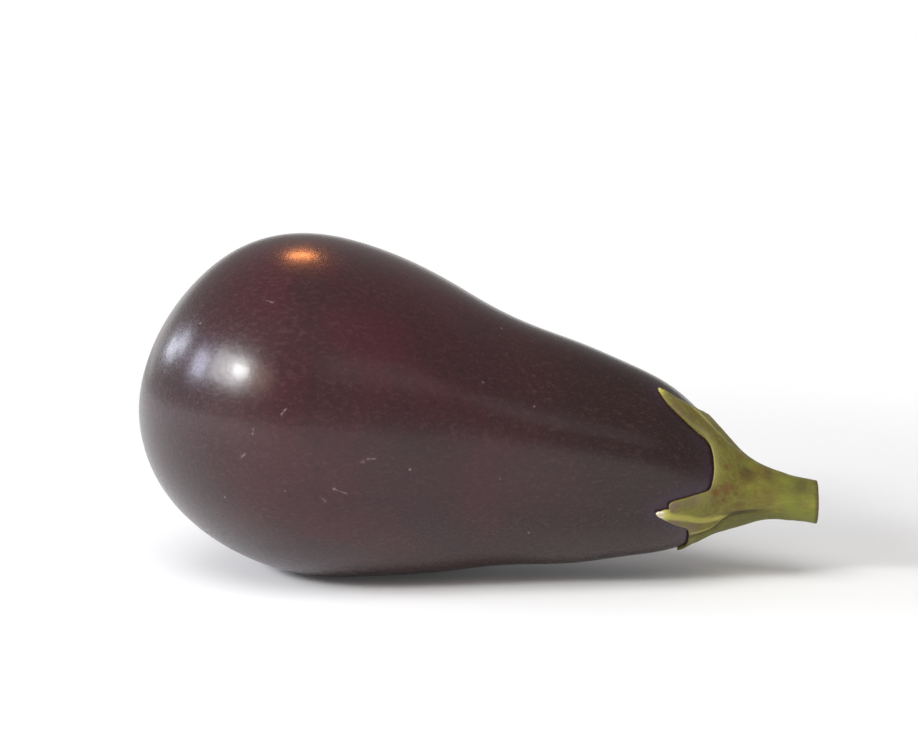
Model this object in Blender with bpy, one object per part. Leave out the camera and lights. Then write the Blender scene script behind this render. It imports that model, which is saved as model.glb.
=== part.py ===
"""A whole pear-shaped eggplant lying on its side: the berry, the green calyx that clasps its neck, and the cut stem.

+X runs from the blossom end to the stem end and +Z is up. The fruit rests on z = 0 on a small flat spot under its belly.
Lengths below are in millimetres, and "along" is the distance from the blossom end, measured along +X.
"""

import math

import bmesh
import bpy
import numpy as np

MM = 0.001

# Overall length, from the blossom end to the cut face of the stem
LENGTH = 198.0

# Half-height of the berry's upright sections, as (along, half-height), from pole to pole
FRUIT_OUTLINE = (
    (0, 0), (1.8, 10.8), (7, 23), (18, 36.3), (33, 45.9), (50, 50), (70, 48), (92, 41.8), (103, 37.9),
    (114, 35), (128, 32.2), (143, 28), (156, 23.5), (164, 18.4), (170, 12.8), (174, 6.6), (175.6, 0),
)
# Half-height of the green cover: the calyx on the neck, the shoulder, and the stem
COVER_OUTLINE = (
    (140, 29.9), (152, 26.2), (158, 23.6), (164, 19.5), (168, 16.3), (172, 13.6), (176, 10.9), (180, 8.8),
    (185, 7.4), (191, 6.6), (200, 6.3),
)
# Height of the centre of each upright section above the surface it rests on
CENTRE_LINE = (
    (0, 47.3), (25, 50.3), (50, 49.5), (75, 46.7), (100, 41.6), (120, 37.8), (145, 34.4), (160, 31.6),
    (172, 27.9), (178, 25.9), (182, 25.6), (186, 25.0), (190, 24.3), (200, 22.9),
)
# The belly is a little wider than it is high, and the neck a little narrower
WIDER = 0.05
WAIST_ALONG = 100.0
WIDTH_RUN = 50.0

# The calyx's lobes, as (angle round the fruit in degrees, where the tip lies along): 0 faces -Y, and 90 is up
LOBES = ((65, 152.5), (-25, 152.4), (-90, 155.0), (-155, 153.5), (-220, 154.0))
# The bays between them, each after the lobe of the same place in the list
BAYS = ((20, 168.0), (-53, 160.5), (-122, 165.0), (-188, 167.0), (-258, 164.5))
LOBE_TAPER = 1.7
SEPAL_WALL = 0.8

SEAM_ALONG = 178.0
GAP = 0.3
STEM_RIBS = 5
RIB_DEPTH = 0.035
CUT_SLANT = math.radians(3)

FRUIT_COLUMNS = 60
CALYX_COLUMNS = 72
STEM_COLUMNS = 40


def smooth_curve(points, samples, closed_ends=False):
    """The natural cubic through (along, value) points. Closed ends meet the axis squarely, as at a fruit's pole."""
    knots = np.array(points, float)
    if closed_ends:
        flipped = knots * (1, -1)
        knots = np.vstack([flipped[2:0:-1], knots, flipped[-2:-4:-1]])
    extra = 2 if closed_ends else 0
    steps = np.linalg.norm(np.diff(knots, axis=0), axis=1)
    places = np.concatenate([[0], np.cumsum(steps)])
    count = len(knots)
    system = np.eye(count)
    right = np.zeros_like(knots)
    for i in range(1, count - 1):
        before = steps[i - 1]
        after = steps[i]
        system[i, i - 1 : i + 2] = before, 2 * (before + after), after
        right[i] = 6 * ((knots[i + 1] - knots[i]) / after - (knots[i] - knots[i - 1]) / before)
    bends = np.linalg.solve(system, right)
    wanted = np.linspace(places[extra], places[count - 1 - extra], samples)
    span = np.clip(np.searchsorted(places, wanted) - 1, 0, count - 2)
    from_start = (wanted - places[span])[:, None]
    to_end = (places[span + 1] - wanted)[:, None]
    step = steps[span][:, None]
    cubic = (bends[span] * to_end**3 + bends[span + 1] * from_start**3) / (6 * step)
    start_part = (knots[span] / step - bends[span] * step / 6) * to_end
    end_part = (knots[span + 1] / step - bends[span + 1] * step / 6) * from_start
    return cubic + start_part + end_part


FRUIT_CURVE = smooth_curve(FRUIT_OUTLINE, 600, closed_ends=True)
COVER_CURVE = smooth_curve(COVER_OUTLINE, 300)
CENTRE_CURVE = smooth_curve(CENTRE_LINE, 300)


def fruit_radius(along):
    return float(np.interp(along, FRUIT_CURVE[:, 0], FRUIT_CURVE[:, 1]))


def cover_radius(along):
    """The green cover's radius, never less than a sepal's wall above the skin."""
    over_skin = fruit_radius(along) + GAP + SEPAL_WALL
    return max(float(np.interp(along, COVER_CURVE[:, 0], COVER_CURVE[:, 1])), over_skin)


def centre_height(along):
    return float(np.interp(along, CENTRE_CURVE[:, 0], CENTRE_CURVE[:, 1]))


def width_factor(along):
    return 1 + WIDER * min(max((WAIST_ALONG - along) / WIDTH_RUN, -1), 1)


def lobe_edge(angle):
    """Where the calyx's edge lies along the fruit at this angle, in degrees: pointed at each tip, round in each bay."""
    bays_before = (BAYS[-1][0] + 360, BAYS[-1][1]), *BAYS[:-1]
    for (tip_angle, tip_along), bay_after, bay_before in zip(LOBES, BAYS, bays_before):
        for bay_angle, bay_along in (bay_after, bay_before):
            turn = (angle - tip_angle + 180) % 360 - 180
            reach = bay_angle - tip_angle
            share = turn / reach
            if 0 <= share <= 1:
                return tip_along + (bay_along - tip_along) * (1 - (1 - share) ** LOBE_TAPER)
    raise ValueError(f"no lobe covers {angle} degrees")


def turned(chain, columns):
    """A surface turned about the X axis from a chain of (along, radius) points."""
    bm = bmesh.new()
    verts = [bm.verts.new((along, 0, radius)) for along, radius in chain]
    edges = [bm.edges.new(pair) for pair in zip(verts, verts[1:])]
    bmesh.ops.spin(
        bm, geom=verts + edges, cent=(0, 0, 0), axis=(1, 0, 0), dvec=(0, 0, 0), angle=math.tau,
        steps=columns, use_merge=True, use_normal_flip=False, use_duplicate=False,
    )
    bmesh.ops.remove_doubles(bm, verts=bm.verts[:], dist=0.001)
    return bm


def placed(vert, along, radius):
    """Moves a vertex, still round the X axis, to this radius on the upright section at this distance along."""
    angle = math.atan2(vert.co.z, -vert.co.y)
    vert.co.x = along
    vert.co.y = -radius * width_factor(along) * math.cos(angle)
    vert.co.z = centre_height(along) + radius * math.sin(angle)


def cut_flat(bm, point, outwards):
    """Cuts away all that lies past a plane and closes the cut with one flat face."""
    geom = bm.verts[:] + bm.edges[:] + bm.faces[:]
    bmesh.ops.bisect_plane(bm, geom=geom, dist=1e-5, plane_co=point, plane_no=outwards, clear_outer=True)
    open_edges = [edge for edge in bm.edges if edge.is_boundary]
    bmesh.ops.holes_fill(bm, edges=open_edges, sides=0)


def finished(name, bm, colour, roughness):
    """The named object, in metres, with its origin under the middle of the whole eggplant."""
    bmesh.ops.recalc_face_normals(bm, faces=bm.faces[:])
    bmesh.ops.translate(bm, vec=(-LENGTH / 2, 0, 0), verts=bm.verts[:])
    bmesh.ops.scale(bm, vec=(MM, MM, MM), verts=bm.verts[:])
    mesh = bpy.data.meshes.new(name)
    bm.to_mesh(mesh)
    bm.free()
    mesh.shade_smooth()
    mesh.set_sharp_from_angle(angle=math.radians(40))
    material = bpy.data.materials.new(name)
    material.use_nodes = True
    shader = material.node_tree.nodes["Principled BSDF"]
    shader.inputs["Base Color"].default_value = (*colour, 1)
    shader.inputs["Roughness"].default_value = roughness
    shader.inputs["Metallic"].default_value = 0
    mesh.materials.append(material)
    made = bpy.data.objects.new(name, mesh)
    bpy.context.collection.objects.link(made)
    return made


def make_fruit():
    """The berry: one solid body from pole to pole, flat where it rests."""
    bm = turned(smooth_curve(FRUIT_OUTLINE, 38, closed_ends=True), FRUIT_COLUMNS)
    for vert in bm.verts:
        placed(vert, vert.co.x, math.hypot(vert.co.y, vert.co.z))
    cut_flat(bm, (0, 0, 0), (0, 0, -1))
    return finished("fruit", bm, (0.075, 0.028, 0.038), 0.3)


def make_calyx():
    """The green cap: a shell over the end of the neck, drawn out into five lobes, with a flat seat for the stem."""
    seat_radius = cover_radius(SEAM_ALONG)
    rim = 150.0
    outer_run = SEAM_ALONG - rim
    outer = turned(
        [(SEAM_ALONG, 0), (SEAM_ALONG, seat_radius)]
        + [(SEAM_ALONG - outer_run * share, 20) for share in (0.08, 0.18, 0.3, 0.45, 0.62, 0.8, 1.0)],
        CALYX_COLUMNS,
    )
    fruit_end = FRUIT_OUTLINE[-1][0]
    inner_run = fruit_end - rim
    inner = turned(
        [(fruit_end, 0)] + [(fruit_end - inner_run * share, 20) for share in (0.03, 0.1, 0.25, 0.5, 0.75, 1.0)],
        CALYX_COLUMNS,
    )
    for bm, start, run, inside in ((outer, SEAM_ALONG, outer_run, False), (inner, fruit_end, inner_run, True)):
        for vert in bm.verts:
            radius = math.hypot(vert.co.y, vert.co.z)
            share = (start - vert.co.x) / run
            edge = lobe_edge(math.degrees(math.atan2(vert.co.z, -vert.co.y)))
            along = start - share * (start - edge)
            if share > 1e-4:
                radius = fruit_radius(along) + GAP if inside else cover_radius(along)
            placed(vert, along + (GAP if inside else 0), radius)
    scrap = bpy.data.meshes.new("calyx_inside")
    inner.to_mesh(scrap)
    inner.free()
    outer.from_mesh(scrap)
    bpy.data.meshes.remove(scrap)
    bmesh.ops.bridge_loops(outer, edges=[edge for edge in outer.edges if edge.is_boundary])
    return finished("calyx", outer, (0.16, 0.17, 0.045), 0.55)


def make_stem():
    """The cut stem: a five-ribbed stalk that flares into the calyx, with its end cut a little aslant."""
    start = SEAM_ALONG + GAP
    stop = LENGTH + 1.5
    chain = [(start, 0), (start, cover_radius(start))]
    chain += [(along, cover_radius(along)) for along in np.linspace(start, stop, 11)[1:]]
    bm = turned(chain + [(stop, 0)], STEM_COLUMNS)
    for vert in bm.verts:
        radius = math.hypot(vert.co.y, vert.co.z)
        angle = math.atan2(vert.co.z, -vert.co.y)
        grown = (vert.co.x - start) / (stop - start)
        ribs = 1 + RIB_DEPTH * grown * math.cos(STEM_RIBS * angle)
        placed(vert, vert.co.x, radius * ribs)
    face = (math.cos(CUT_SLANT), math.sin(CUT_SLANT), 0)
    cut_flat(bm, (LENGTH - 0.3, 0, centre_height(LENGTH)), face)
    return finished("stem", bm, (0.15, 0.17, 0.04), 0.55)


for old in list(bpy.data.objects):
    bpy.data.objects.remove(old, do_unlink=True)

make_fruit()
make_calyx()
make_stem()
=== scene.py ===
import math

import bmesh
import bpy
import numpy as np
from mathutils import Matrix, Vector, noise


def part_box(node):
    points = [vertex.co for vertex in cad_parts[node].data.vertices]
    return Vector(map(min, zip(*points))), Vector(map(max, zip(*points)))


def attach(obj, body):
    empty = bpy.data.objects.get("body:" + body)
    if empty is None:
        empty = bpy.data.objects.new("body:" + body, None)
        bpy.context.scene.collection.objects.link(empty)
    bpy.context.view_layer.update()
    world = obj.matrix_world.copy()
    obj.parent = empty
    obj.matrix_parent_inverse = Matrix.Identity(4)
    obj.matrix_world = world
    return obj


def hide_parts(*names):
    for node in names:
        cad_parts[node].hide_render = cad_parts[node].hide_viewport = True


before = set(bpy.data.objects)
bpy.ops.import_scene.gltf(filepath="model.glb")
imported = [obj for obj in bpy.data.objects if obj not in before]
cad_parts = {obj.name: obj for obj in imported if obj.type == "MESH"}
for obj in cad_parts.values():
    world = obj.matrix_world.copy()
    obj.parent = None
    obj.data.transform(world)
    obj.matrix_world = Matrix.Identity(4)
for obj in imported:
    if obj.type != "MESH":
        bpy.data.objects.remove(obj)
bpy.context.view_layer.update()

# --------------------------------------------------------------------------------------------------
# The fruit
# One solid berry, swollen at the blossom end and drawn out into a neck, that lies with its belly pressed a
# little flat. Its thin skin has a natural wax on it and is a mottled purple-brown, with fine pores, pale
# corky specks and light scratches, and more violet where the calyx shaded it.

# "Along" is the distance from the blossom end in millimetres. Angles run round the fruit in degrees: 0 faces
# the front, and 90 is up.
MM = 0.001
BLOSSOM_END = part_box("fruit")[0].x
STEM_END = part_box("stem")[1].x

FRUIT_OUTLINE = (
    (0, 0), (1.8, 10.8), (7, 23), (18, 36.3), (33, 45.9), (50, 50), (70, 48), (92, 41.8), (103, 37.9),
    (114, 35), (128, 32.2), (143, 28), (156, 23.5), (164, 18.4), (170, 12.8), (174, 6.6), (175.6, 0),
)
CENTRE_LINE = (
    (0, 47.3), (25, 50.3), (50, 49.5), (75, 46.7), (100, 41.6), (120, 37.8), (145, 34.4), (160, 31.6),
    (172, 27.9), (178, 25.9), (182, 25.6), (186, 25.0), (190, 24.3), (200, 22.9),
)
# The belly is wider than it is high, and the neck narrower
WIDER = 0.05
WAIST_ALONG = 100.0
WIDTH_RUN = 50.0

# Swellings and troughs in the flesh: (height in mm, half-width in mm, the line that it follows)
FLESH_RELIEF = (
    (-0.75, 7.5, ((104, -1), (118, -3), (134, -3), (150, -2))),
    (0.55, 8.0, ((98, 27), (118, 23), (136, 16), (156, 10))),
    (-0.45, 7.0, ((100, 62), (120, 58), (142, 52))),
    (-0.5, 9.0, ((108, 150), (125, 146), (146, 150))),
    (0.4, 9.0, ((100, 195), (125, 200), (150, 205))),
    (-0.5, 9.0, ((105, 235), (128, 240), (150, 238))),
)
# The corky scar sits in a dimple at the blossom end
SCAR_RADIUS = 4.2
DIMPLE_DEPTH = 0.9
DIMPLE_RADIUS = 5.5
SCAR_RIM_HEIGHT = 0.35
SCAR_RIM_WIDTH = 0.9
# The turn at the edge of the flat that the fruit rests on
FLAT_SOFTNESS = 0.12
# The skin that the calyx shaded
SHADE_REACH = 3.2
SHADE_START = 130
FRUIT_COLUMNS = 144
FRUIT_RINGS = 120


def smooth_curve(points, samples, closed_ends=False):
    """The natural cubic through points. Closed ends meet the axis squarely, as at a fruit's pole."""
    knots = np.array(points, float)
    if closed_ends:
        flipped = knots * (1, -1)
        knots = np.vstack([flipped[2:0:-1], knots, flipped[-2:-4:-1]])
    extra = 2 if closed_ends else 0
    steps = np.linalg.norm(np.diff(knots, axis=0), axis=1)
    places = np.concatenate([[0], np.cumsum(steps)])
    count = len(knots)
    system = np.eye(count)
    right = np.zeros_like(knots)
    for i in range(1, count - 1):
        before = steps[i - 1]
        after = steps[i]
        system[i, i - 1 : i + 2] = before, 2 * (before + after), after
        right[i] = 6 * ((knots[i + 1] - knots[i]) / after - (knots[i] - knots[i - 1]) / before)
    bends = np.linalg.solve(system, right)
    wanted = np.linspace(places[extra], places[count - 1 - extra], samples)
    span = np.clip(np.searchsorted(places, wanted) - 1, 0, count - 2)
    from_start = (wanted - places[span])[:, None]
    to_end = (places[span + 1] - wanted)[:, None]
    step = steps[span][:, None]
    cubic = (bends[span] * to_end**3 + bends[span + 1] * from_start**3) / (6 * step)
    start_part = (knots[span] / step - bends[span] * step / 6) * to_end
    end_part = (knots[span + 1] / step - bends[span + 1] * step / 6) * from_start
    return cubic + start_part + end_part


FRUIT_CURVE = smooth_curve(FRUIT_OUTLINE, 900, closed_ends=True)
CENTRE_CURVE = smooth_curve(CENTRE_LINE, 400)


def fruit_radius(along):
    return np.interp(along, FRUIT_CURVE[:, 0], FRUIT_CURVE[:, 1])


def centre_height(along):
    return np.interp(along, CENTRE_CURVE[:, 0], CENTRE_CURVE[:, 1])


def section_point(along, angle, radius):
    """The point in mm at this angle and radius on the upright section at this distance along."""
    turn = np.radians(angle)
    width = 1 + WIDER * np.clip((WAIST_ALONG - along) / WIDTH_RUN, -1, 1)
    across = -radius * width * np.cos(turn)
    height = centre_height(along) + radius * np.sin(turn)
    return np.stack(np.broadcast_arrays(along, across, height), -1)


def line_strength(along, angle, path, half_width, radius):
    """How near each place is to a line on the surface: 1 on it, fading over half_width and past its ends."""
    points = smooth_curve(path, 60) if len(path) > 2 else np.linspace(path[0], path[-1], 60)
    line_angle = np.interp(along, points[:, 0], points[:, 1])
    turn = np.radians((angle - line_angle + 180) % 360 - 180)
    past_end = np.clip(points[0, 0] - along, 0, None) + np.clip(along - points[-1, 0], 0, None)
    distance = np.hypot(turn * radius, 0.6 * past_end)
    return np.exp(-((distance / half_width) ** 2))


def flesh_height(along, angle):
    """How far the skin stands in or out of the plain turned shape, in mm."""
    radius = fruit_radius(along)
    height = np.zeros(np.broadcast(along, angle).shape)
    for depth, half_width, path in FLESH_RELIEF:
        height = height + depth * line_strength(along, angle, path, half_width, radius)
    turn = np.radians(angle)
    neck = np.clip((along - 60) / 70, 0, 1) * np.clip((176 - along) / 16, 0, 1)
    height = height + 0.16 * neck * np.cos(5 * turn + 0.3) + 0.12 * neck * np.cos(3 * turn + 2.2)
    belly = np.clip(along / 30, 0, 1) * np.clip((130 - along) / 60, 0, 1)
    return height + 0.24 * belly * np.cos(4 * turn + 0.07 * along - 1.8)


def skin_point(along, angle, above=0.0):
    """A point of the berry's skin, or this far above it, before it is pressed flat."""
    return section_point(along, angle, fruit_radius(along) + flesh_height(along, angle) + above)


def wrapped(grid, start_pole, end_pole):
    """A closed tube, spun as a plain shape, whose rings are then drawn to the rows of a grid of points in mm.
    The grid is indexed by ring, column and axis, and the two poles close the ends."""
    rings, columns = grid.shape[:2]
    bm = bmesh.new()
    radii = [0] + [1] * rings + [0]
    verts = [bm.verts.new((ring, 0, radius)) for ring, radius in enumerate(radii)]
    edges = [bm.edges.new(pair) for pair in zip(verts, verts[1:])]
    bmesh.ops.spin(
        bm, geom=verts + edges, cent=(0, 0, 0), axis=(1, 0, 0), dvec=(0, 0, 0), angle=math.tau,
        steps=columns, use_merge=True, use_normal_flip=False, use_duplicate=False,
    )
    bmesh.ops.remove_doubles(bm, verts=bm.verts[:], dist=1e-4)
    ring_layer = bm.verts.layers.int.new("ring")
    column_layer = bm.verts.layers.int.new("column")
    for vert in bm.verts:
        ring = round(vert.co.x)
        turn = math.atan2(vert.co.y, vert.co.z) / math.tau
        column = round(turn * columns) % columns
        vert[ring_layer] = ring
        vert[column_layer] = column
        if ring == 0:
            vert.co = start_pole
        elif ring == rings + 1:
            vert.co = end_pole
        else:
            vert.co = grid[ring - 1, column]
    bmesh.ops.recalc_face_normals(bm, faces=bm.faces[:])
    return bm


def as_piece(name, bm, marks, material, nodes):
    """Makes the finished piece, in metres, with its marks as attributes, to stand for its CAD nodes."""
    bmesh.ops.scale(bm, vec=(MM, MM, MM), verts=bm.verts[:])
    bmesh.ops.translate(bm, vec=(BLOSSOM_END, 0, 0), verts=bm.verts[:])
    mesh = bpy.data.meshes.new(name)
    bm.to_mesh(mesh)
    bm.free()
    rings = np.zeros(len(mesh.vertices), np.int32)
    columns = np.zeros(len(mesh.vertices), np.int32)
    mesh.attributes["ring"].data.foreach_get("value", rings)
    mesh.attributes["column"].data.foreach_get("value", columns)
    for mark, values in marks.items():
        padded = np.vstack([values[:1], values, values[-1:]])
        layer = mesh.attributes.new(mark, "FLOAT", "POINT")
        layer.data.foreach_set("value", padded[rings, columns].astype(np.float32))
    mesh.shade_smooth()
    mesh.materials.append(material)
    piece = bpy.data.objects.new(name, mesh)
    bpy.context.scene.collection.objects.link(piece)
    finer = piece.modifiers.new("finer", "SUBSURF")
    finer.levels = 1
    finer.render_levels = 1
    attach(piece, "root")
    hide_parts(*nodes)


# The calyx's edge, as the skin beside it is paler. Five sepals hug the neck: each ends in a pointed lobe, and
# the bays between the lobes are broad and round. Each lobe's tip, and the bay after it, as (angle, along).
LOBE_TIPS = ((66, 152.2), (-22, 152.2), (-82, 158.2), (-152, 153.6), (-224, 154.4))
BAYS = ((21, 168.5), (-47, 161.6), (-120, 165.5), (-188, 167.6), (-258, 165.4))
# A lobe's side from tip to bay, as (share of the angle, share of the length)
LONG_SIDE = (
    (0, 0), (0.07, 0.05), (0.20, 0.17), (0.28, 0.32), (0.34, 0.47), (0.38, 0.60), (0.395, 0.70),
    (0.39, 0.79), (0.43, 0.88), (0.54, 0.945), (0.76, 0.985), (1, 1),
)
SLIM_SIDE = (
    (0, 0), (0.03, 0.1), (0.03, 0.27), (0.05, 0.43), (0.13, 0.60), (0.26, 0.77), (0.48, 0.91),
    (0.78, 0.985), (1, 1),
)
TORN_SIDE = (
    (0, 0), (0.03, 0.03), (0.02, 0.08), (0.05, 0.13), (0.04, 0.21), (0.12, 0.22), (0.17, 0.25),
    (0.23, 0.42), (0.32, 0.66), (0.43, 0.88), (0.6, 0.96), (0.8, 0.99), (1, 1),
)
LOW_SIDE = (
    (0, 0), (0.06, 0.05), (0.15, 0.18), (0.28, 0.38), (0.45, 0.66), (0.62, 0.9), (0.8, 0.985), (1, 1),
)
FULL_SIDE = (
    (0, 0), (0.08, 0.16), (0.16, 0.42), (0.27, 0.62), (0.4, 0.78), (0.58, 0.9), (0.8, 0.98), (1, 1),
)
# The sides after each tip, and before the next one
SIDES_AFTER = (LONG_SIDE, LOW_SIDE, FULL_SIDE, LONG_SIDE, LOW_SIDE)
SIDES_BEFORE = (TORN_SIDE, FULL_SIDE, LOW_SIDE, FULL_SIDE, SLIM_SIDE)
COLUMNS_PER_BAY = 64


def side_points(tip, bay, side):
    """A lobe's side from its tip to the bay, as (along, angle) points."""
    tip_angle, tip_along = tip
    bay_angle, bay_along = bay
    return [
        (tip_along + depth * (bay_along - tip_along), tip_angle + share * (bay_angle - tip_angle))
        for share, depth in side
    ]


def edge_between(lobe):
    """The edge from one tip through the bay to the next tip, as evenly spaced (along, angle) points."""
    tip = LOBE_TIPS[lobe]
    next_angle, next_along = LOBE_TIPS[(lobe + 1) % len(LOBE_TIPS)]
    if next_angle > tip[0]:
        next_angle -= 360
    points = side_points(tip, BAYS[lobe], SIDES_AFTER[lobe])
    points += side_points((next_angle, next_along), BAYS[lobe], SIDES_BEFORE[lobe])[-2::-1]
    dense = smooth_curve(points, 400)
    spread = np.radians(dense[:, 1]) * fruit_radius(dense[:, 0])
    lengths = np.hypot(np.diff(dense[:, 0]), np.diff(spread))
    places = np.concatenate([[0], np.cumsum(lengths)])
    wanted = np.linspace(0, places[-1], COLUMNS_PER_BAY + 1)[:-1]
    return np.stack([np.interp(wanted, places, dense[:, 0]), np.interp(wanted, places, dense[:, 1])], -1)


CALYX_EDGE = np.vstack([edge_between(lobe) for lobe in range(len(LOBE_TIPS))])


def edge_distance(along, angle):
    """How far each place is from the calyx's edge, in mm along the skin."""
    radius = np.maximum(fruit_radius(along), 8)
    nearest = np.full(np.broadcast(along, angle).shape, 1e9)
    for edge_along, edge_angle in CALYX_EDGE:
        turn = np.radians((angle - edge_angle + 180) % 360 - 180)
        nearest = np.minimum(nearest, np.hypot(along - edge_along, turn * radius))
    return nearest


# Shader nodes for the skin, which the later materials use too
def new_group(name, inputs, outputs):
    """An empty node group with named float, colour and vector sockets: its tree and its two end nodes."""
    kinds = {"float": "NodeSocketFloat", "colour": "NodeSocketColor", "vector": "NodeSocketVector"}
    tree = bpy.data.node_groups.new(name, "ShaderNodeTree")
    for socket_name, kind in inputs:
        tree.interface.new_socket(socket_name, in_out="INPUT", socket_type=kinds[kind])
    for socket_name, kind in outputs:
        tree.interface.new_socket(socket_name, in_out="OUTPUT", socket_type=kinds[kind])
    return tree, tree.nodes.new("NodeGroupInput"), tree.nodes.new("NodeGroupOutput")


def feed(tree, socket, value):
    """Links an output to the socket, or sets the socket to a plain value."""
    if isinstance(value, bpy.types.NodeSocket):
        tree.links.new(value, socket)
    elif isinstance(value, (tuple, list)) and socket.type == "RGBA":
        socket.default_value = (*value[:3], 1)
    else:
        socket.default_value = value


def placed_group(tree, group, **values):
    """The group's node, with its named inputs fed."""
    made = tree.nodes.new("ShaderNodeGroup")
    made.node_tree = group
    for name, value in values.items():
        feed(tree, made.inputs[name.replace("_", " ")], value)
    return made


def maths(tree, operation, first, second, clamp=False):
    made = tree.nodes.new("ShaderNodeMath")
    made.operation = operation
    made.use_clamp = clamp
    feed(tree, made.inputs[0], first)
    feed(tree, made.inputs[1], second)
    return made.outputs[0]


def ranged(tree, value, low, high, to_low=0.0, to_high=1.0):
    """The value's run from low to high, as a smooth run from to_low to to_high."""
    made = tree.nodes.new("ShaderNodeMapRange")
    made.interpolation_type = "SMOOTHSTEP"
    sockets = ("Value", "From Min", "From Max", "To Min", "To Max")
    for name, given in zip(sockets, (value, low, high, to_low, to_high)):
        feed(tree, made.inputs[name], given)
    return made.outputs["Result"]


def blended(tree, factor, first, second):
    """The first colour where the factor is 0, and the second where it is 1."""
    made = tree.nodes.new("ShaderNodeMix")
    made.data_type = "RGBA"
    feed(tree, made.inputs["Factor"], factor)
    feed(tree, made.inputs[6], first)
    feed(tree, made.inputs[7], second)
    return made.outputs[2]


def grain(tree, where, scale, detail, roughness, distortion=0.0):
    """Cloudy noise, from 0 to 1."""
    made = tree.nodes.new("ShaderNodeTexNoise")
    feed(tree, made.inputs["Vector"], where)
    made.inputs["Scale"].default_value = scale
    made.inputs["Detail"].default_value = detail
    made.inputs["Roughness"].default_value = roughness
    made.inputs["Distortion"].default_value = distortion
    return made.outputs["Fac"]


def stretched(tree, where, scale):
    """The place with each axis scaled, so that a pattern on it runs along the fruit or round it."""
    made = tree.nodes.new("ShaderNodeMapping")
    feed(tree, made.inputs["Vector"], where)
    made.inputs["Scale"].default_value = scale
    return made.outputs["Vector"]


def object_place(tree):
    return tree.nodes.new("ShaderNodeTexCoord").outputs["Object"]


def mark(tree, name):
    """The strength of a mark that the mesh carries."""
    made = tree.nodes.new("ShaderNodeAttribute")
    made.attribute_name = name
    return made.outputs["Fac"]


def dots_group():
    """Small round dots, sparse or dense: pale specks and pores on the skin, and flecks on the green parts."""
    tree, given, out = new_group(
        "dots",
        (("Place", "vector"), ("Scale", "float"), ("Size", "float"), ("Share", "float")),
        (("Dots", "float"),),
    )
    cells = tree.nodes.new("ShaderNodeTexVoronoi")
    feed(tree, cells.inputs["Vector"], given.outputs["Place"])
    feed(tree, cells.inputs["Scale"], given.outputs["Scale"])
    apart = tree.nodes.new("ShaderNodeSeparateColor")
    feed(tree, apart.inputs["Color"], cells.outputs["Color"])
    chosen = maths(tree, "LESS_THAN", apart.outputs["Red"], given.outputs["Share"])
    size_share = ranged(tree, apart.outputs["Green"], 0, 1, 0.45, 1)
    own_size = maths(tree, "MULTIPLY", given.outputs["Size"], size_share)
    inside = maths(tree, "SUBTRACT", 1.0, maths(tree, "DIVIDE", cells.outputs["Distance"], own_size))
    feed(tree, out.inputs["Dots"], maths(tree, "MULTIPLY", ranged(tree, inside, 0, 0.6), chosen))
    return tree


def scratch_group():
    """One short scratch: 1 on the line between two points on the skin, fading over its width."""
    tree, given, out = new_group(
        "scratch",
        (("Place", "vector"), ("Start", "vector"), ("Run", "vector"), ("Width", "float")),
        (("Scratch", "float"),),
    )

    def vector_maths(operation, first, second):
        made = tree.nodes.new("ShaderNodeVectorMath")
        made.operation = operation
        feed(tree, made.inputs[0], first)
        feed(tree, made.inputs[1], second)
        return made

    from_start = vector_maths("SUBTRACT", given.outputs["Place"], given.outputs["Start"]).outputs["Vector"]
    covered = vector_maths("DOT_PRODUCT", from_start, given.outputs["Run"]).outputs["Value"]
    whole = vector_maths("DOT_PRODUCT", given.outputs["Run"], given.outputs["Run"]).outputs["Value"]
    share = maths(tree, "DIVIDE", covered, whole, clamp=True)
    along_run = tree.nodes.new("ShaderNodeVectorMath")
    along_run.operation = "SCALE"
    feed(tree, along_run.inputs[0], given.outputs["Run"])
    feed(tree, along_run.inputs["Scale"], share)
    away = vector_maths("DISTANCE", from_start, along_run.outputs["Vector"]).outputs["Value"]
    near = maths(tree, "SUBTRACT", 1.0, maths(tree, "DIVIDE", away, given.outputs["Width"]), clamp=True)
    feed(tree, out.inputs["Scratch"], near)
    return tree


DOTS = dots_group()
SCRATCH = scratch_group()

# Scratches on the skin, as (along, angle) at each end, and the width in mm
SCRATCHES = (
    ((73, -6), (76.5, -5.4), 0.3),
    ((72.6, -7), (73.4, -7), 0.45),
    ((65, -17), (68.5, -18.6), 0.2),
    ((65, -17), (65.3, -17), 0.5),
    ((62.6, -21.6), (62.9, -21.8), 0.6),
    ((61.2, -20), (62.2, -21), 0.3),
    ((39.5, -10), (41.8, -7.2), 0.3),
    ((43.5, -1.2), (43.8, 0.6), 0.3),
    ((51.5, 6), (53.8, 9.5), 0.25),
    ((44, 44), (47, 42.6), 0.3),
    ((109, -10), (109.3, -7.4), 0.25),
    ((104, 33), (104.3, 33), 0.45),
    ((88, 120), (92, 118), 0.3),
    ((60, 160), (64, 164), 0.3),
    ((40, 205), (44, 201), 0.25),
    ((120, 190), (124, 193), 0.25),
)


def worn_lines(tree, place):
    """The strength of all the scratches together."""
    worn = None
    for start, end, width in SCRATCHES:
        begin, stop = (Vector(skin_point(*np.array(end_point, float))) * MM for end_point in (start, end))
        run = tuple(stop - begin)
        begin.x += BLOSSOM_END
        line = placed_group(tree, SCRATCH, Place=place, Start=tuple(begin), Run=run, Width=width * MM)
        scratch = line.outputs["Scratch"]
        worn = scratch if worn is None else maths(tree, "MAXIMUM", worn, scratch)
    return worn


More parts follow.
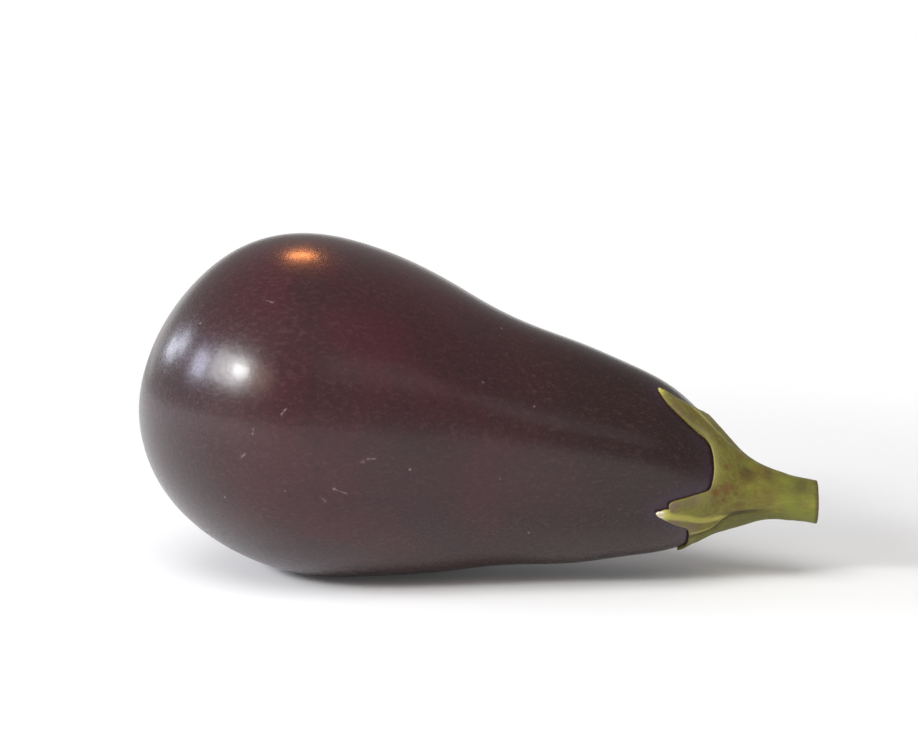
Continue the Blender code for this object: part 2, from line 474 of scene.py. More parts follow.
def skin_material():
    material = bpy.data.materials.new("purple_skin")
    material.use_nodes = True
    tree = material.node_tree
    shader = tree.nodes["Principled BSDF"]
    place = object_place(tree)

    # Broad clouds of redder and darker purple, with fine streaks that run along the fruit
    clouds = ranged(tree, grain(tree, place, 26, 4, 0.55, 0.4), 0.36, 0.66)
    colour = blended(tree, clouds, (0.0290, 0.0105, 0.0125), (0.0450, 0.0102, 0.0138))
    # The neck and the blossom end are browner than the belly
    apart = tree.nodes.new("ShaderNodeSeparateXYZ")
    feed(tree, apart.inputs["Vector"], place)
    along = apart.outputs["X"]
    on_neck = ranged(tree, along, BLOSSOM_END + 85 * MM, BLOSSOM_END + 150 * MM, 0, 0.85)
    colour = blended(tree, on_neck, colour, (0.0195, 0.0085, 0.0080))
    on_blossom_end = ranged(tree, along, BLOSSOM_END + 62 * MM, BLOSSOM_END + 15 * MM, 0, 0.75)
    colour = blended(tree, on_blossom_end, colour, (0.0190, 0.0105, 0.0108))
    fine = grain(tree, stretched(tree, place, (520, 900, 900)), 1, 5, 0.75)
    colour = blended(tree, ranged(tree, fine, 0.50, 0.74, 0, 0.45), colour, (0.085, 0.038, 0.043))
    colour = blended(tree, ranged(tree, fine, 0.46, 0.30, 0, 0.55), colour, (0.013, 0.006, 0.007))
    mottle = grain(tree, stretched(tree, place, (70, 90, 90)), 1, 5, 0.7, 0.6)
    dark_patches = ranged(tree, mottle, 0.53, 0.78)
    colour = blended(tree, maths(tree, "MULTIPLY", dark_patches, 0.40), colour, (0.015, 0.008, 0.009))

    # Paler violet where the calyx kept off the sun
    shaded = mark(tree, "by_calyx")
    violet = maths(tree, "MULTIPLY", shaded, ranged(tree, clouds, 0.2, 0.8, 0.3, 1.0))
    colour = blended(tree, maths(tree, "MULTIPLY", violet, 0.45), colour, (0.042, 0.020, 0.050))

    # Specks, scratches and the corky blossom scar
    specks = placed_group(tree, DOTS, Place=place, Scale=120.0, Size=0.065, Share=0.4).outputs["Dots"]
    pores = placed_group(tree, DOTS, Place=place, Scale=520.0, Size=0.16, Share=0.16).outputs["Dots"]
    faint_pores = maths(tree, "MULTIPLY", pores, 0.09)
    pale = maths(tree, "ADD", maths(tree, "MULTIPLY", specks, 0.45), faint_pores, clamp=True)
    worn = maths(tree, "MULTIPLY", worn_lines(tree, place), ranged(tree, fine, 0.40, 0.60))
    pale = maths(tree, "MAXIMUM", pale, maths(tree, "MULTIPLY", worn, 0.6))
    colour = blended(tree, pale, colour, (0.33, 0.27, 0.265))
    scar = mark(tree, "scar")
    cork = blended(tree, fine, (0.11, 0.060, 0.032), (0.36, 0.24, 0.14))
    colour = blended(tree, scar, colour, cork)
    feed(tree, shader.inputs["Base Color"], colour)

    # The wax is thinner in places, so the gloss is uneven
    wax = ranged(tree, dark_patches, 0.0, 0.8, 0.255, 0.32)
    rubbed = ranged(tree, fine, 0.45, 0.75, 0.0, 0.10)
    gloss = maths(tree, "ADD", wax, rubbed)
    gloss = maths(tree, "ADD", gloss, maths(tree, "MULTIPLY", maths(tree, "MAXIMUM", pale, scar), 0.35))
    feed(tree, shader.inputs["Roughness"], gloss)
    shader.inputs["Metallic"].default_value = 0.0
    shader.inputs["IOR"].default_value = 1.42
    shader.inputs["Coat Weight"].default_value = 0.16
    shader.inputs["Coat Roughness"].default_value = 0.13
    shader.inputs["Coat IOR"].default_value = 1.45

    ripple = grain(tree, stretched(tree, place, (700, 420, 420)), 1, 5, 0.62)
    height = maths(tree, "ADD", ripple, maths(tree, "MULTIPLY", worn, -0.6))
    height = maths(tree, "ADD", height, maths(tree, "MULTIPLY", scar, maths(tree, "MULTIPLY", ripple, 4.0)))
    bump = tree.nodes.new("ShaderNodeBump")
    bump.inputs["Strength"].default_value = 0.44
    bump.inputs["Distance"].default_value = 0.13 * MM
    feed(tree, bump.inputs["Height"], height)
    feed(tree, shader.inputs["Normal"], bump.outputs["Normal"])
    return material


def make_fruit():
    outline = smooth_curve(FRUIT_OUTLINE, FRUIT_RINGS + 2, closed_ends=True)
    along = outline[1:-1, 0][:, None]
    angle = 90 - np.arange(FRUIT_COLUMNS)[None, :] * 360 / FRUIT_COLUMNS
    grid = section_point(along, angle, outline[1:-1, 1][:, None] + flesh_height(along, angle))
    start_pole = section_point(0.0, 0.0, 0.0)
    from_pole = np.linalg.norm(grid[..., 1:] - start_pole[1:], axis=-1)
    near_pole = (along < 20) * np.ones_like(angle)
    hollow = DIMPLE_DEPTH * np.exp(-((from_pole / DIMPLE_RADIUS) ** 2))
    scar_rim = SCAR_RIM_HEIGHT * np.exp(-(((from_pole - SCAR_RADIUS) / SCAR_RIM_WIDTH) ** 2))
    grid[..., 0] += (hollow - scar_rim) * near_pole
    start_pole[0] += DIMPLE_DEPTH
    turn = np.radians(angle)
    ragged = SCAR_RADIUS * (1 + 0.12 * np.cos(3 * turn + 0.5) + 0.06 * np.cos(7 * turn))
    scar = np.clip((ragged - from_pole) / 0.8 + 0.5, 0, 1) * near_pole
    # The belly is pressed flat where it rests
    height = grid[..., 2]
    grid[..., 2] = (height + np.sqrt(height**2 + 4 * FLAT_SOFTNESS**2)) / 2
    grid[..., 2] -= grid[..., 2].min()
    by_calyx = np.exp(-((edge_distance(along, angle) / SHADE_REACH) ** 2)) * (along >= SHADE_START)
    bm = wrapped(grid, start_pole, section_point(FRUIT_OUTLINE[-1][0], 0.0, 0.0))
    marks = {"scar": scar, "by_calyx": by_calyx}
    as_piece("fruit_skin", bm, marks, skin_material(), ["fruit"])


make_fruit()

# --------------------------------------------------------------------------------------------------
# The calyx
# Thick leathery sepals, widest and fleshiest where they join, and thin at the pointed tips, which dry out and
# curl. A rib runs down the middle of each lobe, and creases between the ribs run on to the stalk.

COVER_OUTLINE = (
    (140, 29.9), (152, 26.2), (158, 23.6), (164, 19.5), (168, 16.4), (172, 13.7), (176, 11.0), (180, 8.9),
    (185, 7.45), (191, 6.65), (200, 6.35),
)
COVER_CURVE = smooth_curve(COVER_OUTLINE, 400)
SEAM_ALONG = 178.0
OUTER_RINGS = 34
INNER_RINGS = 12
SEPAL_WALL = 1.25
TIP_WALL = 0.6

# Ribs and creases of the green parts: (height in mm, half-width in mm, the line that it follows)
RIBS = (
    (0.55, 1.3, ((152.2, 65), (156, 62), (160, 64), (165, 69), (171, 66), (177, 71), (183, 61), (198, 57))),
    (0.6, 1.5, ((152.2, -22), (156.7, -24), (161, -26.5), (166.6, -32), (171.4, -30), (175, -26))),
    (0.55, 1.5, ((153.6, -152), (165, -150), (176, -146), (186, -136), (198, -132))),
    (0.55, 1.5, ((154.4, -224), (164, -226), (176, -222), (186, -214), (198, -208))),
    (0.4, 0.9, ((162.5, -44), (167, -45), (170, -38), (172.5, -27), (176, -20), (182, -24))),
)
CREASES = (
    (-1.1, 1.0, (
        (161.2, -49), (164.6, -52), (167, -51), (169.7, -44), (171.4, -36), (173.5, -29), (176, -26),
        (180, -28), (185, -33),
    )),
    (-0.3, 0.6, ((167.5, -30), (170.7, -27.5), (174.5, -24))),
    (-0.2, 2.2, ((172, 36), (178, 40), (186, 38), (196, 40))),
    (-0.7, 1.5, ((166, -118), (172, -115), (180, -106), (194, -98))),
    (-0.7, 1.6, ((168, -190), (174, -186), (182, -176), (195, -170))),
    (-0.6, 1.6, ((166, -258), (173, -256), (181, -250), (195, -244))),
)
# Broad swellings and flats, which don't show in the colour
SWELLINGS = (
    (0.9, 3.6, ((170, 92), (177, 90))),
    (-0.55, 6.0, ((158, -88), (168, -86), (180, -80), (190, -75))),
)
# Olive-brown bruises and brown scabs: (along, angle, radius in mm)
BRUISES = (
    (193.0, 50, 4.6), (184.5, 44, 3.4), (177.5, 43, 2.4), (183, 150, 3.5), (174, -98, 3.0), (189, 230, 3.5),
)
SCABS = (
    (171.2, 4, 2.5), (168.6, -3, 2.2), (171.6, 31, 1.5), (173.2, 9, 1.6), (171.0, -10, 1.4), (174.5, 3, 1.3),
    (173.5, -130, 1.2), (170, -205, 1.3), (176, 120, 0.8),
)
# How far each lobe's tip is lifted off the skin in mm, and how dry it is
TIP_LIFTS = (0.15, 0.7, 0.0, 0.4, 0.4)
TIP_DRYNESS = (0.6, 1.35, 0.25, 0.6, 0.6)
TIP_REACH = 3.4
# The neck's sepals run into the shoulder over this many millimetres
SHOULDER_BLEND = 0.5
FOLD_TURNS = (0.2, 0.4, 0.6, 0.8)


def cover_radius(along):
    return np.interp(along, COVER_CURVE[:, 0], COVER_CURVE[:, 1])


def relief_of(lines, along, angle):
    """How tall these ribs and creases stand at each place in mm, and how strongly they show in the colour."""
    radius = np.maximum(cover_radius(along), 6)
    height = np.zeros(np.broadcast(along, angle).shape)
    strength = np.zeros_like(height)
    for tall, half_width, path in lines:
        near = line_strength(along, angle, path, half_width, radius)
        height = height + tall * near
        strength = np.maximum(strength, near * min(1, 2 * abs(tall)))
    # Ribs and creases run out as the stalk rounds off
    return height * (1 - 0.55 * np.clip((along - 168) / 16, 0, 1)), strength


def spot_strength(spots, along, angle):
    """How near each place is to the middle of a bruise or scab, from 0 to 1."""
    strength = np.zeros(np.broadcast(along, angle).shape)
    for scab_along, scab_angle, radius in spots:
        turn = np.radians((angle - scab_angle + 180) % 360 - 180) * np.maximum(cover_radius(along), 6)
        strength = np.maximum(strength, np.exp(-(np.hypot(along - scab_along, turn) / radius) ** 2))
    return strength


def green_marks(along, angle):
    """The marks that the calyx and the stem share."""
    # Painted shade: the side of the cap below the long fold is painted darker and greener
    fold = smooth_curve(CREASES[0][2], 60)
    below_fold = np.interp(along, fold[:, 0], fold[:, 1]) - angle
    under = np.clip(below_fold / 5, 0, 1) * np.clip((75 - below_fold) / 40, 0, 1)
    ribs = relief_of(RIBS, along, angle)[1] * np.clip((177 - along) / 8, 0, 1)
    # How strongly the creases show, for the painted shade along them
    creases = relief_of(CREASES[:2] + CREASES[3:], along, angle)[1]
    return {
        "under": under * np.clip((along - 158) / 3, 0, 1) * np.clip((194 - along) / 10, 0, 1),
        "rib": ribs * np.where(np.abs(angle - 60) < 30, 0.3, 1.0),
        "crease": creases * np.clip((187 - along) / 10, 0, 1),
        "scab": spot_strength(SCABS, along, angle),
        "bruise": spot_strength(BRUISES, along, angle),
    }


def knobbly(points, size, height, seed):
    """Small lumps for these points in mm."""
    flat = points.reshape(-1, 3)
    lumps = [noise.noise(Vector(point) / size + Vector((seed, 0, 0))) for point in flat]
    return height * np.array(lumps).reshape(points.shape[:-1])


GREEN_MARKS = ("under", "rib", "crease", "scab", "bruise", "rim", "dry", "purple", "cut", "pith")


def green_group():
    """The colour, gloss and fine relief of the green parts, from the marks that their meshes carry."""
    tree, given, out = new_group(
        "green_flesh",
        [("Place", "vector")] + [(name, "float") for name in GREEN_MARKS],
        (("Colour", "colour"), ("Roughness", "float"), ("Height", "float")),
    )
    place = given.outputs["Place"]
    marked = given.outputs
    clouds = ranged(tree, grain(tree, place, 190, 4, 0.6, 0.4), 0.36, 0.66)
    colour = blended(tree, clouds, (0.132, 0.098, 0.016), (0.166, 0.160, 0.020))
    strands = grain(tree, stretched(tree, place, (110, 1100, 1100)), 1, 4, 0.65)
    fibres = ranged(tree, strands, 0.38, 0.7)
    colour = blended(tree, maths(tree, "MULTIPLY", fibres, 0.4), colour, (0.270, 0.250, 0.050))
    # Greener along the stalk, browner on the sepals
    apart = tree.nodes.new("ShaderNodeSeparateXYZ")
    feed(tree, apart.inputs["Vector"], place)
    on_stalk = ranged(tree, apart.outputs["X"], BLOSSOM_END + 180 * MM, BLOSSOM_END + 193 * MM)
    patches = ranged(tree, grain(tree, stretched(tree, place, (90, 150, 150)), 1, 3, 0.5), 0.40, 0.58)
    green = maths(tree, "MULTIPLY", maths(tree, "MULTIPLY", on_stalk, patches), 0.75)
    colour = blended(tree, green, colour, (0.160, 0.190, 0.020))
    brown = ranged(tree, grain(tree, place, 260, 4, 0.65), 0.50, 0.70)
    colour = blended(tree, maths(tree, "MULTIPLY", brown, 0.30), colour, (0.150, 0.090, 0.024))
    bruise = maths(tree, "MULTIPLY", marked["bruise"], ranged(tree, clouds, 0, 1, 1.0, 0.6))
    colour = blended(tree, maths(tree, "MULTIPLY", bruise, 0.9), colour, (0.070, 0.048, 0.013))
    # Pale ribs, pale rims with painted highlight on them, grey-brown margins, creases painted dark as shade,
    # and dry tips
    purple = maths(tree, "MULTIPLY", marked["purple"], ranged(tree, clouds, 0.0, 1.0, 1.0, 0.35))
    colour = blended(tree, purple, colour, (0.150, 0.105, 0.065))
    rib = ranged(tree, marked["rib"], 0.35, 0.95)
    colour = blended(tree, maths(tree, "MULTIPLY", rib, 0.72), colour, (0.43, 0.39, 0.080))
    # Painted shade below the long fold: a darker green
    colour = blended(tree, maths(tree, "MULTIPLY", marked["under"], 0.55), colour, (0.085, 0.095, 0.014))
    unscabbed = maths(tree, "SUBTRACT", 1.0, marked["scab"], clamp=True)
    # The rim: partly its own paler colour, partly painted highlight
    rim = maths(tree, "MULTIPLY", marked["rim"], unscabbed)
    colour = blended(tree, maths(tree, "MULTIPLY", rim, 0.75), colour, (0.33, 0.295, 0.085))
    dry = marked["dry"]
    colour = blended(tree, ranged(tree, dry, 0.05, 0.45, 0, 0.9), colour, (0.46, 0.42, 0.095))
    straw = blended(tree, fibres, (0.50, 0.42, 0.22), (0.85, 0.80, 0.66))
    colour = blended(tree, ranged(tree, dry, 0.45, 0.95), colour, straw)
    # Painted shade: the creases are darkened
    crease = marked["crease"]
    colour = blended(tree, ranged(tree, crease, 0.25, 0.9, 0, 0.8), colour, (0.050, 0.036, 0.010))
    flecks = placed_group(tree, DOTS, Place=place, Scale=900.0, Size=0.22, Share=0.22).outputs["Dots"]
    colour = blended(tree, maths(tree, "MULTIPLY", flecks, 0.3), colour, (0.45, 0.41, 0.13))
    crumbs = grain(tree, place, 1500, 4, 0.8)
    scabby = maths(tree, "ADD", maths(tree, "MULTIPLY", marked["scab"], 0.7), crumbs)
    rough_scab = ranged(tree, scabby, 0.92, 1.20)
    colour = blended(tree, maths(tree, "MULTIPLY", rough_scab, 0.8), colour, (0.165, 0.062, 0.022))
    wood = blended(tree, ranged(tree, crumbs, 0.35, 0.65), (0.038, 0.018, 0.008), (0.10, 0.056, 0.022))
    pith = blended(tree, crumbs, (0.16, 0.11, 0.05), (0.42, 0.33, 0.18))
    wood = blended(tree, marked["pith"], wood, pith)
    colour = blended(tree, marked["cut"], colour, wood)
    feed(tree, out.inputs["Colour"], colour)

    gloss = ranged(tree, crumbs, 0.3, 0.7, 0.42, 0.58)
    gloss = maths(tree, "ADD", gloss, maths(tree, "MULTIPLY", maths(tree, "MAXIMUM", dry, rough_scab), 0.3))
    feed(tree, out.inputs["Roughness"], gloss)

    height = maths(tree, "ADD", crumbs, maths(tree, "MULTIPLY", fibres, 0.8))
    height = maths(tree, "ADD", height, maths(tree, "MULTIPLY", rough_scab, 0.5))
    feed(tree, out.inputs["Height"], height)
    return tree


GREEN = green_group()


def green_material(name):
    material = bpy.data.materials.new(name)
    material.use_nodes = True
    tree = material.node_tree
    shader = tree.nodes["Principled BSDF"]
    strengths = {mark_name: mark(tree, mark_name) for mark_name in GREEN_MARKS}
    flesh = placed_group(tree, GREEN, Place=object_place(tree), **strengths)
    feed(tree, shader.inputs["Base Color"], flesh.outputs["Colour"])
    feed(tree, shader.inputs["Roughness"], flesh.outputs["Roughness"])
    shader.inputs["Metallic"].default_value = 0.0
    shader.inputs["IOR"].default_value = 1.42
    bump = tree.nodes.new("ShaderNodeBump")
    bump.inputs["Strength"].default_value = 0.6
    bump.inputs["Distance"].default_value = 0.22 * MM
    feed(tree, bump.inputs["Height"], flesh.outputs["Height"])
    feed(tree, shader.inputs["Normal"], bump.outputs["Normal"])
    return material


def swept(start, share):
    """Where each column is, this share of the way from the start to the calyx's edge."""
    tip_angles = [tip[0] for tip in LOBE_TIPS] + [LOBE_TIPS[0][0] - 360]
    tip_columns = np.arange(len(tip_angles)) * COLUMNS_PER_BAY
    seam_angle = np.interp(np.arange(len(CALYX_EDGE)), tip_columns, tip_angles)
    along = start - share * (start - CALYX_EDGE[:, 0])
    turn = share * share * (3 - 2 * share)
    return along, seam_angle + turn * (CALYX_EDGE[:, 1] - seam_angle)


def near_tips(along, angle, reach):
    """How near each place is to each lobe's tip: 1 at the tip, fading over the reach in mm."""
    strengths = []
    for tip_angle, tip_along in LOBE_TIPS:
        turn = np.radians((angle - tip_angle + 180) % 360 - 180) * np.maximum(fruit_radius(along), 8)
        strengths.append(np.exp(-(np.hypot(along - tip_along, turn) / reach) ** 2))
    return strengths


def tip_lift(along, angle):
    """How far the dry tips curl off the skin, in mm."""
    return sum(tall * near for tall, near in zip(TIP_LIFTS, near_tips(along, angle, TIP_REACH)))


def sepals_outside(along, angle, distance):
    """The outer side of the sepals and the shoulder, from the seam at the stem to the calyx's edge."""
    wall = SEPAL_WALL + (TIP_WALL - SEPAL_WALL) * np.clip(sum(near_tips(along, angle, 7)), 0, 1)
    rounded = 1 - 0.45 * np.clip(1 - distance / 1.3, 0, 1) ** 2
    over_skin = fruit_radius(along) + flesh_height(along, angle) + wall * rounded + tip_lift(along, angle)
    cover = cover_radius(along)
    radius = (over_skin + cover + np.sqrt((over_skin - cover) ** 2 + SHOULDER_BLEND**2)) / 2
    radius = radius - 0.12 * SHOULDER_BLEND
    ribs = relief_of(RIBS, along, angle)[0]
    creases = relief_of(CREASES + SWELLINGS, along, angle)[0]
    inland = np.clip(distance / 1.6, 0, 1)
    radius = radius + ribs * (0.35 + 0.65 * inland) + creases * inland
    # The last millimetres dip under the stem's skin
    hidden = np.clip((along - (SEAM_ALONG - 1.6)) / 2.2, 0, 1)
    radius = radius + 0.03 - 0.14 * hidden
    plain = section_point(along, angle, radius)
    lumps = knobbly(plain, 2.6, 0.12, 3.0) * np.clip((SEAM_ALONG - along) / 4, 0, 1)
    return section_point(along, angle, radius + lumps)


def sepals_inside():
    """The inner side, which lies on the skin and lifts off it under the tips."""
    share = np.linspace(1, 0, INNER_RINGS)[:, None]
    along, angle = swept(FRUIT_OUTLINE[-1][0] - 0.4, share)
    return skin_point(along, angle, 0.9 * tip_lift(along, angle) - 0.12)


def rolled_rim(outer, inner):
    """The rim: a rounded fold from the outer side to the inner one."""
    outwards = outer[-1] - outer[-3]
    outwards /= np.linalg.norm(outwards, axis=-1, keepdims=True)
    across = inner[0] - outer[-1]
    thickness = np.linalg.norm(across, axis=-1, keepdims=True)
    fold = []
    for turn in FOLD_TURNS:
        middle = outer[-1] + across * (1 - math.cos(math.pi * turn)) / 2
        fold.append(middle + outwards * thickness * 0.32 * math.sin(math.pi * turn))
    return np.stack(fold)


def edge_marks(along, angle, distance):
    """The pale rim, partly painted highlight, the dry tips and the grey-brown margins, by the distance from
    the calyx's edge in mm.
    """
    # The rim is a thick pale bead in the bays, and thin beside the lobes, partly its own paler colour and
    # partly painted highlight
    in_bay = np.clip((along - 161) / 4, 0, 1)
    rim = np.exp(-((distance / (1.0 + 0.9 * in_bay)) ** 2)) * (0.2 + 0.8 * in_bay)
    # Painted highlight: the rim's paleness is cut back on top and low in the bay
    on_top = np.exp(-((((angle % 360) - 95) / 27) ** 2))
    low_in_bay = np.exp(-(((angle + 4) / 15) ** 2))
    rim = rim * (1 - 0.75 * on_top) * (1 - 0.6 * low_in_bay)
    dryness = sum(dry * near for dry, near in zip(TIP_DRYNESS, near_tips(along, angle, TIP_REACH)))
    # The margins show most round the torn lobe, and the long lobe has a narrow one
    round_torn = np.exp(-(((angle + 22) / 26) ** 2))
    margin = np.exp(-((np.clip(distance - 0.5, 0, None) / 2.0) ** 2)) * np.clip(0.45 + round_torn, 0, 0.95)
    long_lobe = np.exp(-((distance / 2.2) ** 2)) * np.exp(-(((angle - 50) / 8) ** 2))
    return {
        "rim": rim,
        "dry": np.clip(dryness - 0.2, 0, 1),
        "purple": np.maximum(margin, long_lobe) * np.clip((168.5 - along) / 3, 0, 1),
    }


def make_calyx():
    share = 1 - (1 - np.linspace(0, 1, OUTER_RINGS)[:, None]) ** 1.35
    along, angle = swept(SEAM_ALONG + 0.6, share)
    distance = edge_distance(along, angle)
    outer = sepals_outside(along, angle, distance)
    inner = sepals_inside()
    grid = np.concatenate([outer, rolled_rim(outer, inner), inner])

    columns = len(CALYX_EDGE)
    marks = {}
    for name, values in {**green_marks(along, angle), **edge_marks(along, angle, distance)}.items():
        on_fold = 0.3 if name == "purple" else values[-1]
        on_inside = 0.3 if name == "rim" else 0.0
        marks[name] = np.concatenate([
            values,
            np.broadcast_to(on_fold, (len(FOLD_TURNS), columns)),
            np.full((INNER_RINGS, columns), on_inside),
        ])
    for name in ("cut", "pith"):
        marks[name] = np.zeros(grid.shape[:2])
    start_pole = section_point(SEAM_ALONG + 0.6, 0.0, 0.0)
    end_pole = section_point(FRUIT_OUTLINE[-1][0] + 0.1, 0.0, 0.0)
    bm = wrapped(grid, start_pole, end_pole)
    as_piece("calyx_sepals", bm, marks, green_material("calyx_green"), ["calyx"])


make_calyx()

# --------------------------------------------------------------------------------------------------
# The stem
# A short stalk, ribbed where the sepals' ribs run up it, and cut across with a knife when the fruit was
# picked. The cut has dried brown, with a paler pith, and its rim stands a little proud.

STEM_RINGS = 40
STEM_COLUMNS = 120
CUT_SLANT = math.tan(math.radians(3))
STEM_START = 174.5
STEM_HALF_WIDTH = 6.2
# Rings of the cut face, as (share of the radius, how far in from the cut in mm)
CUT_RINGS = (
    (0.985, -0.06), (0.95, -0.02), (0.88, 0.12), (0.74, 0.2), (0.58, 0.22), (0.4, 0.16), (0.2, 0.12),
)
PITH_SHARE = 0.65


def make_stem():
    stem_length = (STEM_END - BLOSSOM_END) / MM
    side_along = np.linspace(STEM_START, stem_length, STEM_RINGS)[:, None]
    angle = 90 - np.arange(STEM_COLUMNS)[None, :] * 360 / STEM_COLUMNS

    def side_radius(along):
        sunk = 0.5 * np.clip((SEAM_ALONG - 1.2 - along) / 2.6, 0, 1)
        raised = relief_of(RIBS + CREASES + SWELLINGS, along, angle)[0]
        return cover_radius(along) + raised - sunk

    side = section_point(side_along, angle, side_radius(side_along))
    lumps = knobbly(side, 3.2, 0.16, 9.0) * np.clip((side_along - SEAM_ALONG) / 4, 0, 1)
    side = section_point(side_along, angle, side_radius(side_along) + lumps)
    end_along = np.full((1, 1), stem_length)
    full = side_radius(end_along) + lumps[-1:]
    rings = [section_point(end_along - inset, angle, full * share) for share, inset in CUT_RINGS]
    face = np.concatenate(rings)
    face[..., 0] += knobbly(face, 0.9, 0.12, 5.0) * (np.arange(len(face)) > 1)[:, None]
    grid = np.concatenate([side, face])
    near_cut = np.clip((grid[..., 0] - 190) / 8, 0, 1)
    grid[..., 0] -= near_cut * CUT_SLANT * (grid[..., 1] + STEM_HALF_WIDTH)

    face_size = (len(CUT_RINGS), STEM_COLUMNS)
    marks = {}
    for name, values in green_marks(side_along, angle).items():
        marks[name] = np.vstack([values, np.zeros(face_size)])
    cut_side = np.clip((side_along - stem_length + 1.1) / 0.7, 0, 1) * np.ones_like(angle)
    marks["cut"] = np.vstack([0.9 * cut_side, np.ones(face_size)])
    for name in ("pith", "rim", "dry", "purple"):
        marks[name] = np.zeros_like(marks["cut"])
    for ring, (share, _) in enumerate(CUT_RINGS):
        marks["pith"][STEM_RINGS + ring] = share < PITH_SHARE
    start_pole = section_point(STEM_START, 0.0, 0.0)
    end_pole = section_point(stem_length - 0.1, 0.0, 0.0)
    end_pole[0] -= CUT_SLANT * STEM_HALF_WIDTH
    bm = wrapped(grid, start_pole, end_pole)
    as_piece("cut_stem", bm, marks, green_material("stem_green"), ["stem"])


make_stem()

# --------------------------------------------------------------------------------------------------
# The table and the backdrop
# A plain pale tabletop, on which the fruit lies. It fades into a white surround, so that no edge shows behind
# the fruit, and it is clear from below.

TABLE_SIZE = 6.0
FADE_START = 0.16
FADE_END = 0.42


def make_table():
    bm = bmesh.new()
    bmesh.ops.create_circle(bm, cap_ends=True, segments=96, radius=TABLE_SIZE / 2)
    mesh = bpy.data.meshes.new("tabletop")
    bm.to_mesh(mesh)
    bm.free()
    material = bpy.data.materials.new("tabletop")
    material.use_nodes = True
    tree = material.node_tree
    shader = tree.nodes["Principled BSDF"]
    shader.inputs["Base Color"].default_value = (0.84, 0.84, 0.84, 1)
    shader.inputs["Roughness"].default_value = 0.8
    shader.inputs["Emission Color"].default_value = (1.0, 1.0, 1.0, 1)
    shader.inputs["Emission Strength"].default_value = 0.03
    clear = tree.nodes.new("ShaderNodeBsdfTransparent")
    mixer = tree.nodes.new("ShaderNodeMixShader")
    distance = tree.nodes.new("ShaderNodeVectorMath")
    distance.operation = "LENGTH"
    feed(tree, distance.inputs[0], object_place(tree))
    faded = ranged(tree, distance.outputs["Value"], FADE_START, FADE_END)
    below = tree.nodes.new("ShaderNodeNewGeometry").outputs["Backfacing"]
    seen = tree.nodes.new("ShaderNodeLightPath").outputs["Is Camera Ray"]
    clearness = maths(tree, "MULTIPLY", maths(tree, "MAXIMUM", faded, below), seen)
    feed(tree, mixer.inputs[0], clearness)
    feed(tree, mixer.inputs[1], shader.outputs["BSDF"])
    feed(tree, mixer.inputs[2], clear.outputs["BSDF"])
    feed(tree, tree.nodes["Material Output"].inputs["Surface"], mixer.outputs["Shader"])
    mesh.materials.append(material)
    table = bpy.data.objects.new("tabletop", mesh)
    bpy.context.scene.collection.objects.link(table)


make_table()


# The room that the skin's gloss mirrors, as (height above the horizon, colour)
ROOM_COLOURS = (
    (0.0, (0.62, 0.62, 0.61)), (0.1, (0.42, 0.42, 0.42)), (0.4, (0.33, 0.33, 0.33)), (1.0, (0.3, 0.3, 0.3)),
)


def make_surround():
    """White to the eye. In the skin's gloss it is a dim room above a bright horizon."""
    world = bpy.data.worlds.new("studio")
    world.use_nodes = True
    tree = world.node_tree
    background = tree.nodes["Background"]
    seen = tree.nodes.new("ShaderNodeLightPath").outputs["Is Camera Ray"]
    direction = tree.nodes.new("ShaderNodeTexCoord").outputs["Generated"]
    apart = tree.nodes.new("ShaderNodeSeparateXYZ")
    feed(tree, apart.inputs["Vector"], direction)
    ramp = tree.nodes.new("ShaderNodeValToRGB")
    feed(tree, ramp.inputs["Fac"], apart.outputs["Z"])
    for element, (position, colour) in zip(ramp.color_ramp.elements, (ROOM_COLOURS[0], ROOM_COLOURS[-1])):
        element.position = position
        element.color = (*colour, 1)
    for position, colour in ROOM_COLOURS[1:-1]:
        ramp.color_ramp.elements.new(position).color = (*colour, 1)
    feed(tree, background.inputs["Color"], blended(tree, seen, ramp.outputs["Color"], (1.0, 1.0, 1.0)))
    bpy.context.scene.world = world


make_surround()

# --------------------------------------------------------------------------------------------------
# The lights and the camera
# Cool windows at the left, a small warm lamp above and behind, and a broad dim softbox in front. The camera
# looks along the table with a short telephoto lens.

MIDDLE = Vector((0, 0, 0.05))


def pointing(azimuth, elevation):
    """The direction from the fruit. Azimuth 0 is in front, and 90 is at the stem's end."""
    turn = math.radians(azimuth)
    rise = math.radians(elevation)
    return Vector((math.sin(turn) * math.cos(rise), -math.cos(turn) * math.cos(rise), math.sin(rise)))


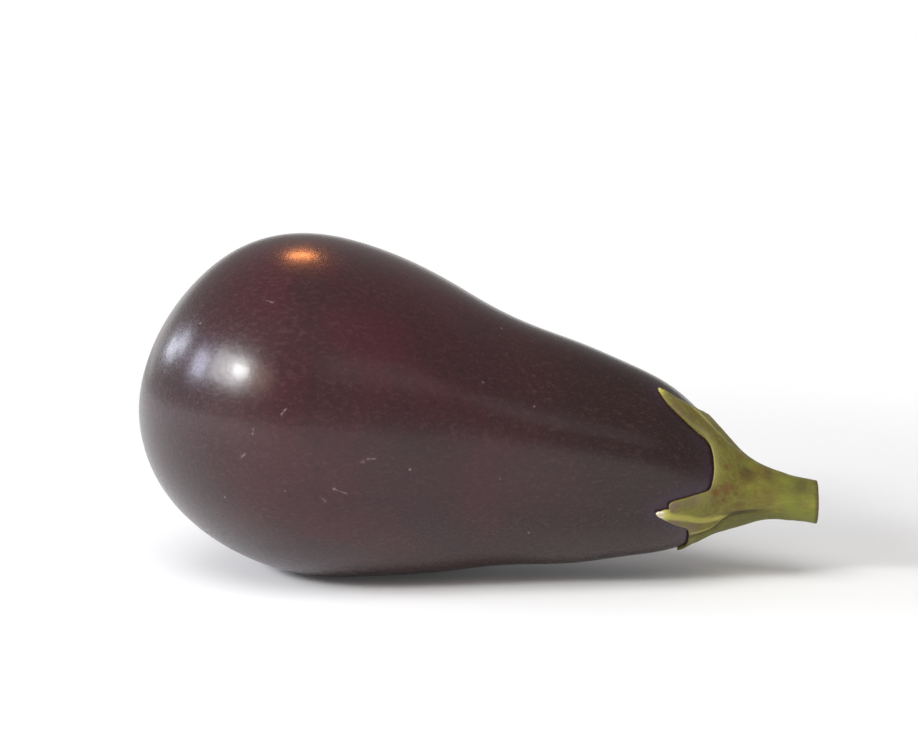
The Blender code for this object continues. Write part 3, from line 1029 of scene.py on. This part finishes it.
def panel(name, azimuth, elevation, distance, size, power, colour, glossy=True, diffuse=True):
    """A soft rectangular light aimed at the fruit."""
    direction = pointing(azimuth, elevation)
    light = bpy.data.lights.new(name, "AREA")
    light.shape = "RECTANGLE"
    light.size = size[0]
    light.size_y = size[1]
    light.energy = power
    light.color = colour
    lamp = bpy.data.objects.new(name, light)
    lamp.location = MIDDLE + direction * distance
    lamp.rotation_euler = (-direction).to_track_quat("-Z", "Y").to_euler()
    lamp.visible_camera = False
    lamp.visible_glossy = glossy
    lamp.visible_diffuse = diffuse
    bpy.context.scene.collection.objects.link(lamp)


panel("window_bright", -47, 26.5, 1.3, (0.22, 0.14), 5.6, (0.98, 1.0, 0.97))
panel("window_main", -57, 25, 1.3, (0.60, 0.36), 9.5, (0.93, 0.95, 0.98))
panel("window_cool", -82, 20, 1.3, (0.26, 0.28), 4.2, (0.76, 0.79, 1.0))
panel("far_pane_high", -108, 19, 1.3, (0.24, 0.16), 1.2, (0.82, 0.86, 1.0))
panel("far_pane_low", -117, 13, 1.3, (0.24, 0.13), 1.0, (0.82, 0.86, 1.0))
panel("warm_wall", -29, 25, 1.3, (0.34, 0.26), 0.9, (1.0, 0.66, 0.42))
panel("lamp_warm", -162, 55.5, 0.8, (0.13, 0.085), 1.25, (1.0, 0.33, 0.10), diffuse=False)
panel("room_front", 34, 34, 1.5, (0.9, 0.4), 0.6, (1.0, 0.98, 0.96))
panel("bright_backdrop", 186, 3, 1.8, (3.2, 0.6), 3.6, (1.0, 1.0, 0.98), diffuse=False)
panel("soft_fill", -10, 58, 1.8, (1.6, 1.2), 22.0, (1.0, 0.99, 0.98), glossy=False)

CAMERA_AZIMUTH = 6
CAMERA_ELEVATION = 8
CAMERA_DISTANCE = 0.63
CAMERA_TARGET = Vector((-0.0048, 0, 0.0602))

lens = bpy.data.cameras.new("camera")
lens.lens = 85
camera = bpy.data.objects.new("camera", lens)
back = pointing(CAMERA_AZIMUTH, CAMERA_ELEVATION)
camera.location = CAMERA_TARGET + back * CAMERA_DISTANCE
camera.rotation_euler = (-back).to_track_quat("-Z", "Y").to_euler()
bpy.context.scene.collection.objects.link(camera)
bpy.context.scene.camera = camera
bpy.context.scene.view_settings.view_transform = "Standard"
